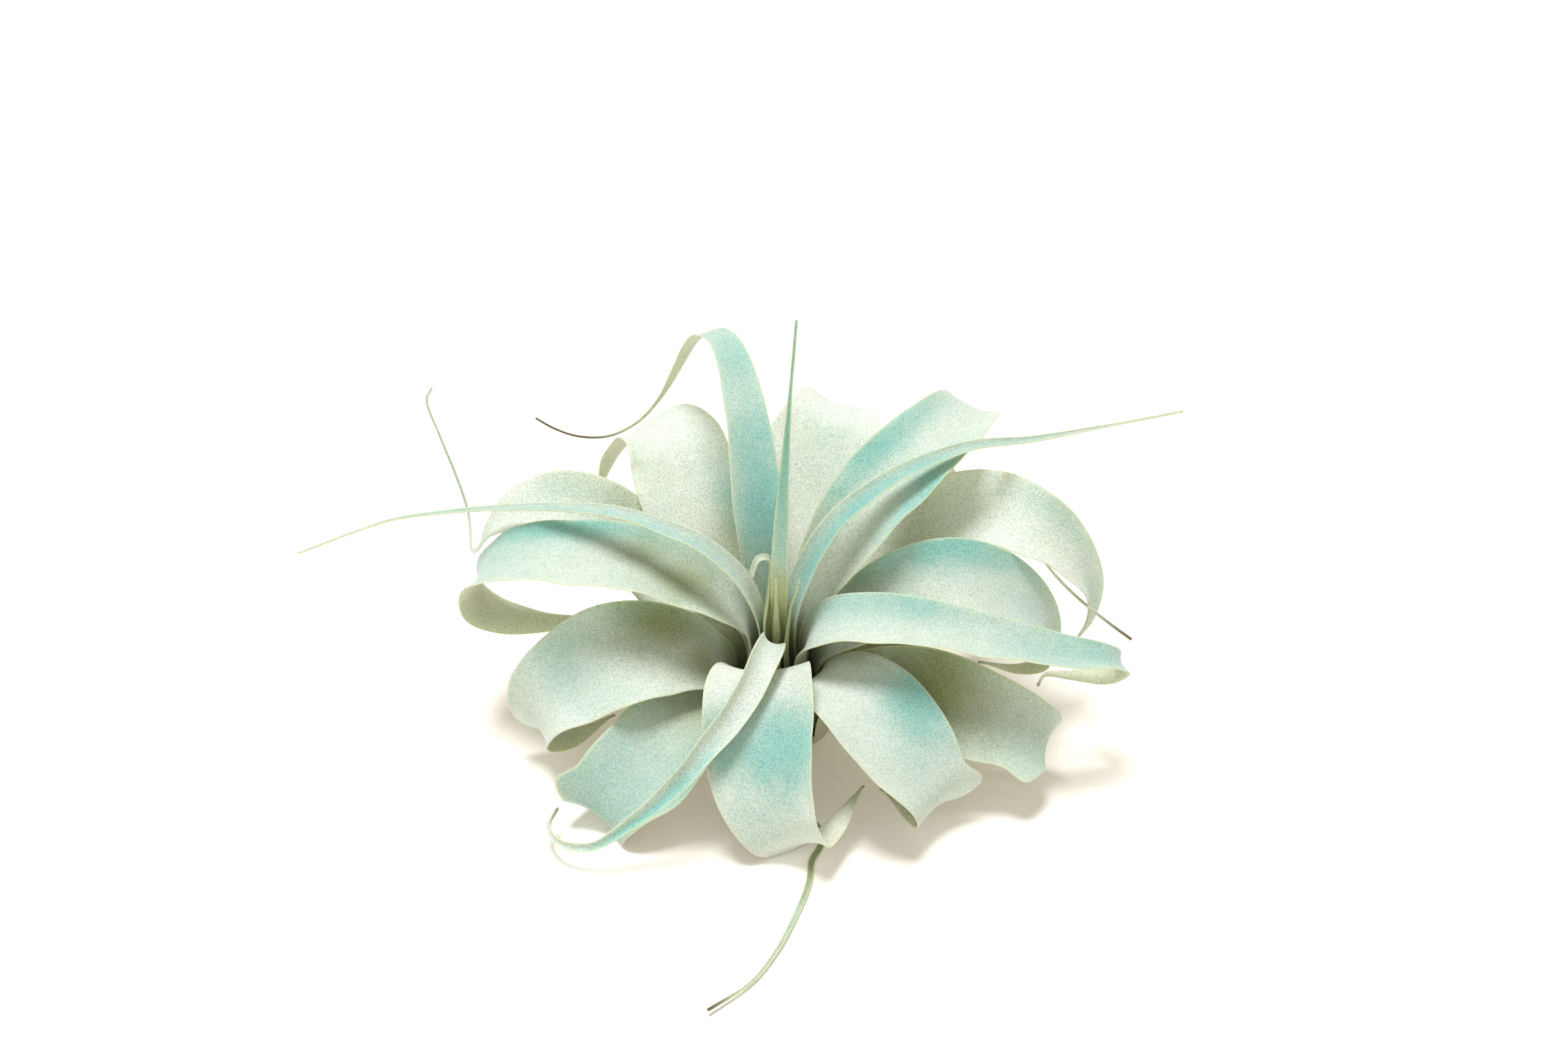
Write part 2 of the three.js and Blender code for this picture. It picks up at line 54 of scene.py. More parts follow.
# ---- the leaves ---------------------------------------------------------------------------------
# Each leaf grows from its seat on the stem at a compass heading, az (degrees, 0 = +x, 90 = away
# from the front). The seat follows from the leaf's rank, or base gives its radius and height.
# Shape: width is the full width across and taper how late it narrows; spread is the most half width
# it has for each millimetre from the axis; channel is the half angles of the gutter at mid leaf and
# at the tip, and open the share of the length by which it has opened; blade is the share of the
# length before the thread-like tail, and tail and tip are the widths of those; roll turns the blade
# about its own length, in degrees at even steps along it; horn is where the margins stand out at
# the fold, by how much on the minus and plus sides, and over what share of the length.
# Colour: silver is how thickly pale scales cover it, and on the upper leaves at the back its high
# values also paint the paleness of a sheen; green is how far in mm the green of its base reaches,
# partly the leaf's own green and partly painted shade where leaves above cover it; cream is how
# warm it is, and dry where the tip starts to go brown. aqua patches are the leaf's own blue-green,
# and the other patches are painted shade cast by the leaves above, in the heart colour; both are
# (along, across, length, breadth, strength): shares of the length, and of the half width.
# A spine knot is (reach, height, sideways) in mm, on the upright plant.
LEAVES = {
    "spear": dict(
        group="heart", tone="young", az=-90, base=(0, 30), width=6, spread=9, channel=(60, 80),
        open=0.2, taper=1.3,
        cream=0.1, dry=1.2,
        spine=[(0, 48), (0, 62), (-1, 76), (-2, 88)]),
    "curl_small": dict(
        group="heart", tone="young", az=165, base=(5, 27), width=8, channel=(45, 40), taper=3,
        tip=2.4,
        cream=0.3, dry=1.2,
        aqua=[(0.7, 0, 0.2, 2, 0.3)],
        spine=[(5, 48, -1), (5, 62, -2), (5, 68, -5), (5, 78, -9), (6, 85, -12), (9, 87, -10),
               (11, 80, -7)]),
    "teal_small": dict(
        group="heart", tone="young", az=-8, base=(5, 27), width=8, channel=(40, 60), taper=1.6,
        cream=0, dry=1.2,
        aqua=[(0.75, 0, 0.35, 2, 0.9)],
        spine=[(4.2, 48), (4.5, 60, 1.8), (5.2, 70, 3.9), (7, 79, 4), (8, 86, 4)]),
    "needle": dict(
        group="heart", tone="young", az=78, base=(5.5, 27), width=14, spread=0.3, channel=(40, 70),
        open=0.25, taper=1,
        cream=0, dry=1.2,
        aqua=[(0.75, 0, 0.4, 2, 1)],
        spine=[(5, 55), (6, 75), (9, 108), (19, 150), (38, 185, 1)]),
    "ribbon": dict(
        group="ribbon", az=104, rank=9, width=24, spread=0.34, channel=(22, 30), open=0.25,
        taper=1.7, blade=0.88, tail=4,
        silver=0.45, green=16, cream=0.15, dry=0.86,
        aqua=[(0.31, -0.3, 0.16, 1.5, 0.9), (0.5, -0.2, 0.16, 1.6, 0.5)],
        spine=[(10, 50), (16, 66), (26, 86), (43, 103, -2), (68, 114, -4), (92, 115, -3),
               (105, 107, 1), (113, 93, 5.5), (116, 77, 11), (117, 61, 18), (116, 50, 28),
               (115, 46, 40), (117, 47, 52), (121, 50, 61), (126, 52, 67)]),
    "long_left": dict(
        group="ribbon", az=158, rank=7.4, width=14, spread=0.3, channel=(50, 80), open=0.2,
        taper=0.95,
        silver=0.4, green=30, cream=0.25, dry=1.1,
        aqua=[(0.45, 0.5, 0.3, 1, 0.5), (0.8, 0, 0.2, 1.5, 0.5)],
        spine=[(7, 58, -1), (16, 79, -3), (31, 90, -4), (46, 93, -4), (65, 91, -5), (85, 84, -5),
               (110, 72, -5), (133, 61, -3), (159, 48, 1), (174, 40, 7), (194, 30, 18)]),
    "long_right": dict(
        group="ribbon", az=41, rank=6.5, width=15, spread=0.35, channel=(50, 80), open=0.2,
        taper=1.05,
        silver=0.3, green=24, cream=0.1, dry=1.1,
        aqua=[(0.35, -0.5, 0.25, 1.2, 0.8)],
        spine=[(10, 60, 2), (20, 75, 5), (36, 89, 6), (60, 96, 3), (90, 94, -3), (119, 82, -10),
               (155, 67, -16), (192, 54, -24)]),
    "ribbon_front": dict(
        group="ribbon", az=-112, rank=8, width=15, spread=0.42, channel=(62, 48), taper=2, tip=3.2,
        silver=0.6, cream=0.2, dry=0.97,
        aqua=[(0.68, 0.45, 0.17, 0.9, 1), (0.5, -0.9, 0.2, 0.3, 0.3)],
        spine=[(8, 56), (10, 65, 2), (20, 67, 3), (38, 62, 1), (56, 55.5, -5), (73, 47.5, -13),
               (86, 40, -23), (94.5, 35, -32), (96, 32, -43), (90, 29, -51), (83, 30, -51)]),
    "strap_left": dict(
        group="strap", az=165, rank=11.5, width=34, spread=0.55, channel=(26, 40), taper=4.1,
        roll=(0, 5, 5, 0),
        silver=0.4, green=22, cream=0.3, dry=0.97,
        aqua=[(0.5, -0.85, 0.22, 0.45, 0.85), (0.66, -0.1, 0.09, 1.2, 0.35)],
        olive=[(0.3, 0.1, 0.08, 0.9, 0.8), (0.37, -0.3, 0.06, 0.5, 0.7)],
        spine=[(13, 56, -4), (27, 70, -3), (45, 77, -3), (66, 78, -1), (92, 72), (108, 61, -1),
               (117, 47), (117, 36, 1), (109, 29, 0), (96, 27, -2), (82, 29, -4), (68, 33, -6)]),
    "strap_right": dict(
        group="strap", az=-5, rank=11, width=26, spread=0.75, channel=(30, 50), taper=3,
        roll=(0, -10, -10, 0),
        silver=0.38, green=20, cream=0.25, dry=0.97,
        aqua=[(0.36, 0.7, 0.18, 0.7, 0.65), (0.7, 0.3, 0.18, 1.5, 0.5)],
        spine=[(13, 57), (23, 67, -1), (37, 70, -1), (57, 70, -2), (81, 65, -2), (105, 57),
               (122, 51, 3), (127, 44, 6), (123, 37, 6), (110, 35, 6), (100, 37, 4), (97, 40, -3)]),
    "front": dict(
        group="broad", az=-93, rank=15, width=43, spread=1, channel=(26, 40), taper=5,
        roll=(0, 0, 0, 10, 34, 50),
        silver=0.62, green=12, cream=0.75, dry=0.98,
        aqua=[(0.53, 0.35, 0.13, 1.1, 1), (0.5, -0.6, 0.1, 0.8, 0.75),
              (0.66, -0.5, 0.08, 0.8, 0.35)],
        spine=[(14, 48, -2), (19, 59, -4), (31, 60.5, -4), (47, 54.5, -3), (59, 48.5),
               (67, 43, 4), (72.5, 37.5, 9), (71.5, 32, 14), (64.5, 30.5, 21), (56, 31.5, 28),
               (48.5, 33.5, 34)]),
    "broad_up_right": dict(
        group="broad", az=49.5, rank=13.6, width=37, spread=0.37, channel=(24, 45), taper=4,
        blade=0.72, tail=2.2,
        silver=0.5, green=22, cream=0.4, dry=0.93,
        aqua=[(0.37, 0.75, 0.12, 0.5, 0.9), (0.35, -0.9, 0.09, 0.5, 0.85)],
        olive=[(0.2, 0, 0.06, 1, 0.45)],
        spine=[(15, 50), (31, 71), (52, 86, -1), (76, 90, -2), (99, 87, -1), (114, 81, 1),
               (118, 73, 5), (112, 64, 10), (104, 57, 6), (100, 52, -14), (99, 49, -42),
               (96, 44, -57), (94, 42, -70), (93, 41, -85), (93, 40, -95)]),
    "broad_up_left": dict(
        group="broad", az=114, rank=17, width=46.4, spread=0.4, channel=(18, 30), taper=4.4,
        roll=(0, -4, -10, -4, 14, 20),
        silver=0.75, green=24, cream=0.35, dry=0.98,
        aqua=[(0.46, -0.7, 0.17, 0.5, 0.7), (0.3, -0.2, 0.1, 0.8, 0.3)],
        olive=[(0.36, -0.3, 0.12, 0.7, 0.75)],
        spine=[(15, 40), (28, 49, 2), (49, 56, 4), (70, 64, 5), (86, 70, 4), (97, 68.5, 6),
               (105, 61, 12), (107, 51, 21), (104, 43, 28), (98, 37, 34)]),
    "broad_right": dict(
        group="broad", az=14.5, rank=18.4, width=42, spread=0.37, channel=(22, 50), taper=3,
        roll=(0, 8, 19, 15, 10, 0),
        silver=0.5, green=24, cream=0.3, dry=0.98,
        aqua=[(0.5, 0.85, 0.22, 0.55, 0.85), (0.72, 0, 0.14, 1.5, 0.35)],
        olive=[(0.3, 0.6, 0.08, 0.6, 0.5)],
        spine=[(16, 42), (33, 58), (52, 67, -1), (71, 68, -3), (90, 57, -6), (101, 42, -12),
               (101, 27, -16), (92, 19, -13), (78, 19, -7)]),
    "broad_low_left": dict(
        group="broad", az=189, rank=19.3, width=48, spread=0.44, channel=(23, 44), taper=4.2,
        roll=(0, -12, -16, 0),
        silver=0.5, green=22, cream=0.35, dry=0.98,
        aqua=[(0.6, -0.3, 0.13, 1.4, 0.4), (0.42, -0.8, 0.15, 0.5, 0.3)],
        olive=[(0.38, -0.6, 0.12, 0.7, 0.95), (0.28, 0, 0.09, 0.9, 0.8)],
        spine=[(18, 36), (25, 47.5, 2), (38, 55, 1), (60, 56, 1), (75, 48, 2), (88, 38, 5),
               (90, 27, 8), (80, 21, 8), (62, 23, 4)]),
    "broad_low_right": dict(
        group="broad", az=-47, rank=20, width=48, spread=0.52, channel=(20, 26), taper=4.6,
        roll=(0, 2, 2, 0, 0), horn=(0.8, 0, 7, 0.025),
        silver=0.5, green=22, cream=0.4, dry=0.98,
        aqua=[(0.57, 0.7, 0.14, 0.7, 0.9), (0.66, 0.1, 0.12, 0.9, 0.35)],
        olive=[(0.34, 0.9, 0.08, 0.35, 0.6)],
        spine=[(17, 40, 1), (23, 52, 3), (40, 56.5, 3), (58, 52, 3), (72, 45, 3), (80, 38, 3),
               (81, 32, 2), (76, 27, 0), (60, 25, -4)]),
    "back": dict(
        group="broad", az=76, rank=20.5, width=56, channel=(14, 28), taper=3.6, roll=(0, 0, 2, 0),
        silver=0.8, green=34, cream=0.3, dry=0.98,
        aqua=[(0.6, -0.2, 0.12, 0.8, 0.3)],
        spine=[(18, 38, 1), (36, 50, 3), (56, 60, 4.5), (73, 70, 2), (88, 76, 0), (98, 73, -1),
               (104, 60, -2), (102, 48, -3), (92, 42, -4)]),
    "lower_left": dict(
        group="lower", az=-133, rank=22.5, width=46, channel=(25, 35), taper=4,
        roll=(0, 0, -4, -16, -24, -20), horn=(0.72, 5, 0, 0.025),
        silver=0.3, green=24, cream=0.25, dry=0.98,
        aqua=[(0.68, 0, 0.17, 1.6, 0.5), (0.5, 0.8, 0.2, 0.5, 0.6)],
        olive=[(0.36, -0.2, 0.09, 0.9, 0.6)],
        spine=[(20, 32), (31, 41, -1), (48, 44, -2), (64, 39.5, -3), (76, 36, -5), (83, 32, -6),
               (86, 27, -7), (81, 23, -10), (72, 26, -17), (61, 31, -25)]),
    "upper_right": dict(
        group="lower", az=33, rank=23.5, width=35, channel=(22, 50), taper=4.8, roll=(0, 6, 14, 0),
        silver=0.8, green=30, cream=0.4, dry=0.98,
        aqua=[(0.72, 0.7, 0.12, 0.5, 0.4), (0.9, 0, 0.08, 1, 0.4)],
        olive=[(0.42, 0, 0.08, 1.2, 0.5)],
        spine=[(20, 31), (43, 47, 8), (71, 62, 7), (92, 69, -3.5), (104, 67, -19),
               (112, 56, -31), (116, 43, -39), (112, 32, -45), (103, 26, -48)]),
    "upper_left": dict(
        group="lower", az=155, rank=23.5, width=44, spread=0.42, channel=(20, 50), taper=4,
        blade=0.66, tail=3, roll=(0, 8, 8, -14, -16, 0, 0, 0),
        silver=0.85, green=30, cream=0.55, dry=1.2,
        aqua=[(0.48, -0.4, 0.08, 0.6, 0.35), (0.85, 0, 0.2, 2, 0.8)],
        olive=[(0.37, -0.6, 0.08, 0.6, 0.55)],
        spine=[(20, 32), (34, 38, -4), (52, 47.5, -8), (72, 59.5, -12.5), (91, 69, -10.5),
               (107, 67, -5.5), (118, 57, 1.5), (123, 46, 6), (129, 38, 2), (137, 42, -10),
               (144, 53, -16), (154, 66, -23), (161, 78, -28), (159, 84, -30)]),
    "lower_right": dict(
        group="lower", az=-19, rank=25.4, width=42, spread=0.42, channel=(20, 34), taper=4,
        roll=(0, 16, 14, 0), horn=(0.73, 6, 0, 0.04),
        silver=0.35, green=50, cream=0.6, dry=0.98,
        aqua=[(0.75, -0.6, 0.1, 0.8, 0.25)],
        olive=[(0.47, 0.3, 0.16, 1.4, 1)],
        spine=[(23, 30), (37, 42, -3), (60, 47, -3), (80, 42, -1), (97, 36, 2), (103, 31, 4),
               (101, 24, 4), (93, 20, 2), (78, 22, 1)]),
    "under_front": dict(
        group="under", tone="old", az=-94, base=(23.5, 11), width=18, spread=0.3, channel=(30, 70),
        taper=3.4, blade=0.3, tail=2.8,
        silver=0.2, green=90, cream=0.3, dry=0.93,
        spine=[(24, 20), (32, 24, 4), (44, 21, 9), (54, 19.2, 15.5), (61, 21, 20.5),
               (68, 23, 20.5), (75, 25.5, 18), (86, 29.5, 17.5), (101, 34, 14), (119, 40, 8),
               (132, 44, 1), (145, 49, -12)]),
    "under_back": dict(
        group="under", tone="old", az=103, rank=26.5, width=36, channel=(22, 60), taper=3,
        silver=0.2, green=90, cream=0.5, dry=0.9,
        spine=[(23, 22), (44, 34), (66, 44), (84, 46), (96, 36), (96, 22), (84, 8)]),
    "under_left": dict(
        group="under", tone="old", az=172, rank=28, width=36, channel=(22, 60), taper=3,
        silver=0.2, green=90, cream=0.5, dry=0.9,
        spine=[(24, 18), (44, 26), (62, 28), (76, 22), (80, 12), (72, 6), (58, 8)]),
    "under_right": dict(
        group="under", tone="old", az=28, rank=28.5, width=36, channel=(22, 60), taper=3,
        silver=0.2, green=90, cream=0.5, dry=0.9,
        spine=[(24, 18), (46, 28), (66, 32), (82, 26), (86, 14), (78, 4), (62, 4)]),
}

# What a leaf has where the table says nothing: the width of its tail and tip, the share of the
# length by which its gutter has opened, and how thick its scales are.
THREAD_WIDTH, OPEN_BY, USUAL_SILVER = 0.9, 0.3, 0.45

# ---- how a leaf is drawn, in millimetres --------------------------------------------------------
SEAT_TOP, SEAT_RADIUS, SEAT_STEP = 29, 3, 0.7  # seats go down and out by rank, in a spiral
STEPS_PER_KNOT = 80  # points of the dense line between two spine knots
FEWEST_RINGS = 30
FULLNESS = 1.35  # how roundly a blade narrows to its tip
SECTOR_START = 1.5  # half width that a leaf may have at the plant's axis
HEART_HUG = 4  # radius that the foot of a leaf with its own base wraps round
MOST_HUG = 1.35  # most half angle of a foot round the stem, in radians
OPEN_FROM, CLOSE_FROM = 0.02, 0.55  # shares of the length where the gutter starts to open and close
OUTERMOST = 0.999  # how far out a slab's rim and ends start, on its scale of -1 to 1
COLUMNS = ((30, 28), (16, 20), (0, 12))  # wider than so many mm: so many columns across
FULL_BLADE = 8  # half width from which a leaf is as thick as a blade
FULL_RIPPLE = 12  # half width from which the margins ripple fully
LONG_WAVE, SHORT_WAVE = 5.3, 3.1  # mm of leaf for each radian of the two waves of a margin
SHORT_SHARE = 0.6  # height of the short wave against the long one
RIPPLE_FROM, RIPPLE_FULL = 0.1, 0.3  # shares of the length where the waves start and are full
# The green of a base is partly the leaf's own colour and partly painted shade where the leaves
# above cover it.
GREEN_FADE = 14  # mm over which the green of a base fades, each way
GREEN_MOST = 0.8  # how strongly it shows
DRY_START, DRY_END = -0.03, 0.07  # shares of the length over which a tip goes brown

# ---- how the skin and the stem look --------------------------------------------------------------
# By the age of a leaf: how the green of its foot fades along it (gone at and full at so many cm,
# the share beyond, the share within), which colour that is, and how much the dull underside shows.
# The green of the foot is partly the leaf's own colour and partly painted shade near the heart,
# where the leaves cover one another.
AGES = {
    "young": dict(foot=(7.5, 4.5, 0.1, 0.9), green="shoot", dull=0.2),
    "blade": dict(foot=(4.5, 2.4, 0.0, 1.0), green="heart", dull=0.85),
    "old": dict(foot=(4.5, 2.4, 0.2, 1.0), green="heart", dull=0.85),
}
# Sizes of the patterns, in repeats for each metre.
SCALES, CLUMPS, SMALL_CLOUDS, LARGE_CLOUDS = 1900.0, 900.0, 130.0, 38.0
FLECKS, FIBRES = 330.0, 900.0
VEIN_STRETCH = (7.0, 0.25, 1.0)
VEIN_SHADE = [0.78, 0.84, 0.74]  # what the skin is multiplied by along a vein
BARE_SHADE = [0.69, 0.79, 0.71]  # and between the scales
FLECK_COLOUR = [0.12, 0.13, 0.06]
DRY_STREAK, FURROW = 0.6, 0.45  # how dark the streaks of dry tips and the furrows of the stem are
GLOW_THROUGH = (0.7, 1.0, 0.25)  # how far red, green and blue light travel in a leaf
GLOW_DEPTH = 2 * MM
SCALE_RELIEF, FIBRE_RELIEF = 0.6 * MM, 1 * MM  # how far the bumps of leaf and stem stand up

# ---- the stem ------------------------------------------------------------------------------------
STEM_LOW = -10 * MM  # below the flat that it is cut to
STEM_SIDES, STEM_ROWS = 72, 30
FIBRE_DEPTH, SCAR_DEPTH, SCAR_STEP = 0.35 * MM, 0.3 * MM, 1.6 * MM
COARSE_FIBRES, FINE_FIBRES = 17, 31  # furrows round the stem
FIBRE_TWIST = 240  # radians of their wave that the coarse ones gain in each metre up the stem

# ---- the stage -----------------------------------------------------------------------------------
FLOOR_HALF = 4  # metres from its middle to a side
FLOOR_GLOW, FLOOR_GLOW_STRENGTH = (1, 0.9, 0.76, 1), 0.13
SKY_COLOUR = (1, 0.94, 0.74, 1)
# Each lamp: its name, its place, its apparent size in degrees and the setting with its strength.
LAMPS = (("softbox", (-0.16, 0.22, 1.3), 22, "key"), ("fill", (-0.2, -0.9, 0.9), 80, "fill"))
LAMP_COLOUR = (0.96, 0.98, 1)
LAMP_AIM = (0, 0, 0.05)
CAMERA_PLACE = (0.0028, -0.6459, 0.5436)
CAMERA_TILT = 55  # degrees up from straight down
CAMERA_SENSOR = 36
CAMERA_NEAR = 0.01


def paint(code):
    """A colour for a shader socket from its six-figure web code."""
    parts = [int(code[i:i + 2], 16) / 255 for i in (0, 2, 4)]
    return [p / 12.92 if p <= 0.04045 else ((p + 0.055) / 1.055) ** 2.4 for p in parts]


# ---- what a user may change ---------------------------------------------------------------------
def length_prop(name, description, default):
    return bpy.props.FloatProperty(name=name, description=description, default=default, min=0,
                                   subtype="DISTANCE", unit="LENGTH")


def colour_prop(name, description, code):
    return bpy.props.FloatVectorProperty(name=name, description=description, default=paint(code),
                                         subtype="COLOR", size=3, min=0, max=1)


class AIRPLANT_PG_sizes(bpy.types.PropertyGroup):
    lean: bpy.props.FloatProperty(
        name="Lean", description="How far the plant's axis leans towards the front",
        default=math.radians(18), subtype="ANGLE", unit="ROTATION")
    blade: length_prop("Blade thickness", "Thickness of a broad leaf along its middle", 1.2 * MM)
    margin: length_prop(
        "Margin thickness", "Thickness of a leaf at its margins and in its tail", 0.5 * MM)
    ring: length_prop("Ring spacing", "Spacing of the rings of points along a leaf", 1.5 * MM)
    ripple: length_prop("Margin ripple", "How far the margins wander up and down", 0.45 * MM)
    spread: bpy.props.FloatProperty(
        name="Spread", description="Most half width a leaf has for each millimetre from the axis",
        default=0.47, min=0.1, max=2, subtype="FACTOR")
    stem_top: length_prop("Stem height", "Height of the stem's tip above its underside", 28 * MM)
    stem_tip: length_prop("Stem tip radius", "Radius of the stem at its tip", 1.9 * MM)
    stem_slope: bpy.props.FloatProperty(
        name="Stem slope", description="Stem radius gained for each millimetre down", default=0.7,
        min=0, max=2, subtype="FACTOR")


class AIRPLANT_PG_colours(bpy.types.PropertyGroup):
    sage: colour_prop("Sage", "Leaf skin between the scales", "c5d0c7")
    aqua: colour_prop("Aqua", "Soft blue-green patches", "6fbdba")
    cream: colour_prop("Cream", "Warm pale parts nearer the heart", "e6dbc6")
    silver: colour_prop("Silver", "The fine scales that cover the leaf", "f2f3ee")
    # Heart is the leaves' own base green and also the colour of the painted shade patches, darkened
    # for them.
    heart: colour_prop("Heart", "Olive green of the leaf bases and of the shaded patches", "848b40")
    shoot: colour_prop("Shoots", "Olive yellow of the youngest leaves", "b9b96c")
    margin: colour_prop("Margin", "The thin pale rim of a leaf", "d6dcae")
    under: colour_prop("Underside", "The dull underside of a leaf", "dcd5c0")
    dry: colour_prop("Dry", "Dried tips and tails", "6b4f3a")
    stem: colour_prop("Stem", "Dry fibre of the stem", "7d6544")


class AIRPLANT_PG_stage(bpy.types.PropertyGroup):
    floor: colour_prop("Floor", "The plain floor", "fbf7f2")
    sky: bpy.props.FloatProperty(
        name="Surround", description="Brightness of the surroundings", default=0.34, min=0, max=5)
    key: bpy.props.FloatProperty(
        name="Softbox", description="Strength of the softbox above the plant", default=3.1,
        min=0, max=20)
    fill: bpy.props.FloatProperty(
        name="Fill", description="Strength of the soft light from the front", default=0.6,
        min=0, max=20)
    lens: bpy.props.FloatProperty(
        name="Lens", description="Focal length of the camera", default=50, min=10, max=200,
        unit="CAMERA")


# ---- leaf shape ---------------------------------------------------------------------------------
def ease(low, high, x):
    """0 up to low and 1 from high on, with a smooth step between; high may be the lower one."""
    t = np.clip((x - low) / (high - low), 0, 1)
    return t * t * (3 - 2 * t)


def along(values, s):
    """A smooth value at each s from a short list spread evenly over 0..1."""
    values = np.array(values, float)
    x = s * (len(values) - 1)
    i = np.minimum(x.astype(int), len(values) - 2)
    return values[i] + (values[i + 1] - values[i]) * ease(0, 1, x - i)


def seat_of(leaf):
    """Radius and height of a leaf's seat: the higher its rank, the lower and wider."""
    return leaf.get("base") or (SEAT_RADIUS + SEAT_STEP * leaf["rank"], SEAT_TOP - leaf["rank"])


def smooth_line(knots):
    """A dense line on the centripetal curve through the knots."""
    p = np.vstack([2 * knots[0] - knots[1], knots, 2 * knots[-1] - knots[-2]])
    t = np.linspace(0, 1, STEPS_PER_KNOT, endpoint=False)[:, None]
    line = []
    for a, b, c, d in zip(p, p[1:], p[2:], p[3:]):
        ab, bc, cd = (max(np.linalg.norm(v - u) ** 0.5, 1e-4) for u, v in ((a, b), (b, c), (c, d)))
        start = ((b - a) / ab - (c - a) / (ab + bc) + (c - b) / bc) * bc
        end = ((c - b) / bc - (d - b) / (bc + cd) + (d - c) / cd) * bc
        line.append(b + start * t + (3 * (c - b) - 2 * start - end) * t ** 2
                    + (2 * (b - c) + start + end) * t ** 3)
    return np.vstack(line + [knots[-1:]])


def spine_of(leaf, ring):
    """Evenly spaced points along a leaf, with the directions along, across and up at each."""
    a = math.radians(leaf["az"])
    out = np.array([math.cos(a), math.sin(a), 0])
    across = np.array([-math.sin(a), math.cos(a), 0])
    knots = [(*seat_of(leaf), 0), *leaf["spine"]]
    line = smooth_line(np.array([out * k[0] + across * (k[2] if len(k) > 2 else 0) + (0, 0, k[1])
                                 for k in knots]))
    run = np.concatenate([[0], np.cumsum(np.linalg.norm(np.diff(line, axis=0), axis=1))])
    n = max(FEWEST_RINGS, round(run[-1] / ring))
    even = np.linspace(0, run[-1], n + 1)
    points = np.stack([np.interp(even, run, line[:, i]) for i in range(3)], 1)
    forward = np.gradient(points, axis=0)
    forward /= np.linalg.norm(forward, axis=1)[:, None]
    sides, side = [], across
    for f in forward:
        side = side - (side @ f) * f
        side = side / np.linalg.norm(side)
        sides.append(side)
    sides = np.array(sides)
    return points, forward, sides, np.cross(forward, sides), run[-1]


def half_width(leaf, s, reach, spread):
    """Half the width at s; near the stem a leaf keeps within the sector it grows in."""
    share = np.minimum(s / leaf.get("blade", 1), 1)
    w = leaf["width"] / 2 * (1 - share ** leaf["taper"]) ** FULLNESS
    sector = SECTOR_START + leaf.get("spread", spread) * reach
    w = w * sector / (w ** 4 + sector ** 4) ** 0.25
    w = np.maximum(w, leaf.get("tail", THREAD_WIDTH) / 2 * np.sqrt(1 - s))
    return np.maximum(w, leaf.get("tip", THREAD_WIDTH) / 2)


def gutter(leaf, s, w):
    """Half the angle of the cross-section's arc: it hugs the stem, opens, and closes again."""
    seat = HEART_HUG if "base" in leaf else seat_of(leaf)[0]
    hug = np.minimum(w / seat, MOST_HUG)
    mid, tip = (math.radians(c) for c in leaf["channel"])
    opened = hug + (mid - hug) * ease(OPEN_FROM, leaf.get("open", OPEN_BY), s)
    return opened + (tip - opened) * ease(CLOSE_FROM, 1, s)


def slab(columns, rings):
    """A closed flat slab: a grid from z = 1 down to z = -1, with a rim of four steps."""
    bm = bmesh.new()
    bmesh.ops.create_grid(bm, x_segments=columns, y_segments=rings, size=1)
    bmesh.ops.translate(bm, verts=bm.verts[:], vec=(0, 0, 1))
    bmesh.ops.solidify(bm, geom=bm.faces[:], thickness=2)
    low = min(v.co.z for v in bm.verts)
    bmesh.ops.translate(bm, verts=bm.verts[:], vec=(0, 0, -1 - low))
    upright = [e for e in bm.edges if abs(e.verts[0].co.z - e.verts[1].co.z) > 1]
    bmesh.ops.subdivide_edges(bm, edges=upright, cuts=3, use_grid_fill=True)
    bmesh.ops.recalc_face_normals(bm, faces=bm.faces[:])
    return bm


def spots(patches, s, x):
    """How strongly soft round patches show at each point of a leaf."""
    shown = np.zeros_like(x)
    for s0, x0, long, broad, strength in patches:
        patch = np.exp(-((s - s0) / long) ** 2 - ((x - x0) / broad) ** 2)
        shown = np.maximum(shown, strength * patch)
    return shown


def column(values):
    return np.asarray(values)[:, None]


def horn_at(leaf, s, x):
    """How far the margins stand out at the fold."""
    if "horn" not in leaf:
        return np.zeros_like(x)
    where, minus, plus, span = leaf["horn"]
    return np.where(x < 0, minus, plus) * np.abs(x) ** 3 * np.exp(-((s - where) / span) ** 2)


def wander(name, run, x):
    """The two waves that a margin wanders on, starting elsewhere on each leaf."""
    start = sum(map(ord, name)) % 17
    long = np.sin(run / LONG_WAVE + start + x)
    return long + SHORT_SHARE * np.sin(run / SHORT_WAVE + 2.3 * start - 2 * x)


def leaf_colours(leaf, s, run, x, level):
    """The values that the skin reads at each point, by attribute name."""
    # The patches in the heart colour are painted shade, where the leaves above cast their shadows.
    aqua, olive = (spots(leaf.get(kind, ()), s, x) for kind in ("aqua", "olive"))
    # The green of the base is partly the leaf's own colour and partly painted shade where the
    # leaves above cover it.
    if "green" in leaf:
        foot = ease(leaf["green"] + GREEN_FADE, leaf["green"] - GREEN_FADE, run)
        olive = np.maximum(olive, GREEN_MOST * foot)
    return {
        "along": run / MM_PER_CM, "across": x, "under": (1 - level) / 2,
        "aqua": aqua, "green": olive,
        "cream": np.full_like(x, leaf["cream"]),
        "silver": np.full_like(x, leaf.get("silver", USUAL_SILVER)),
        "dry": ease(leaf["dry"] + DRY_START, leaf["dry"] + DRY_END, s),
    }


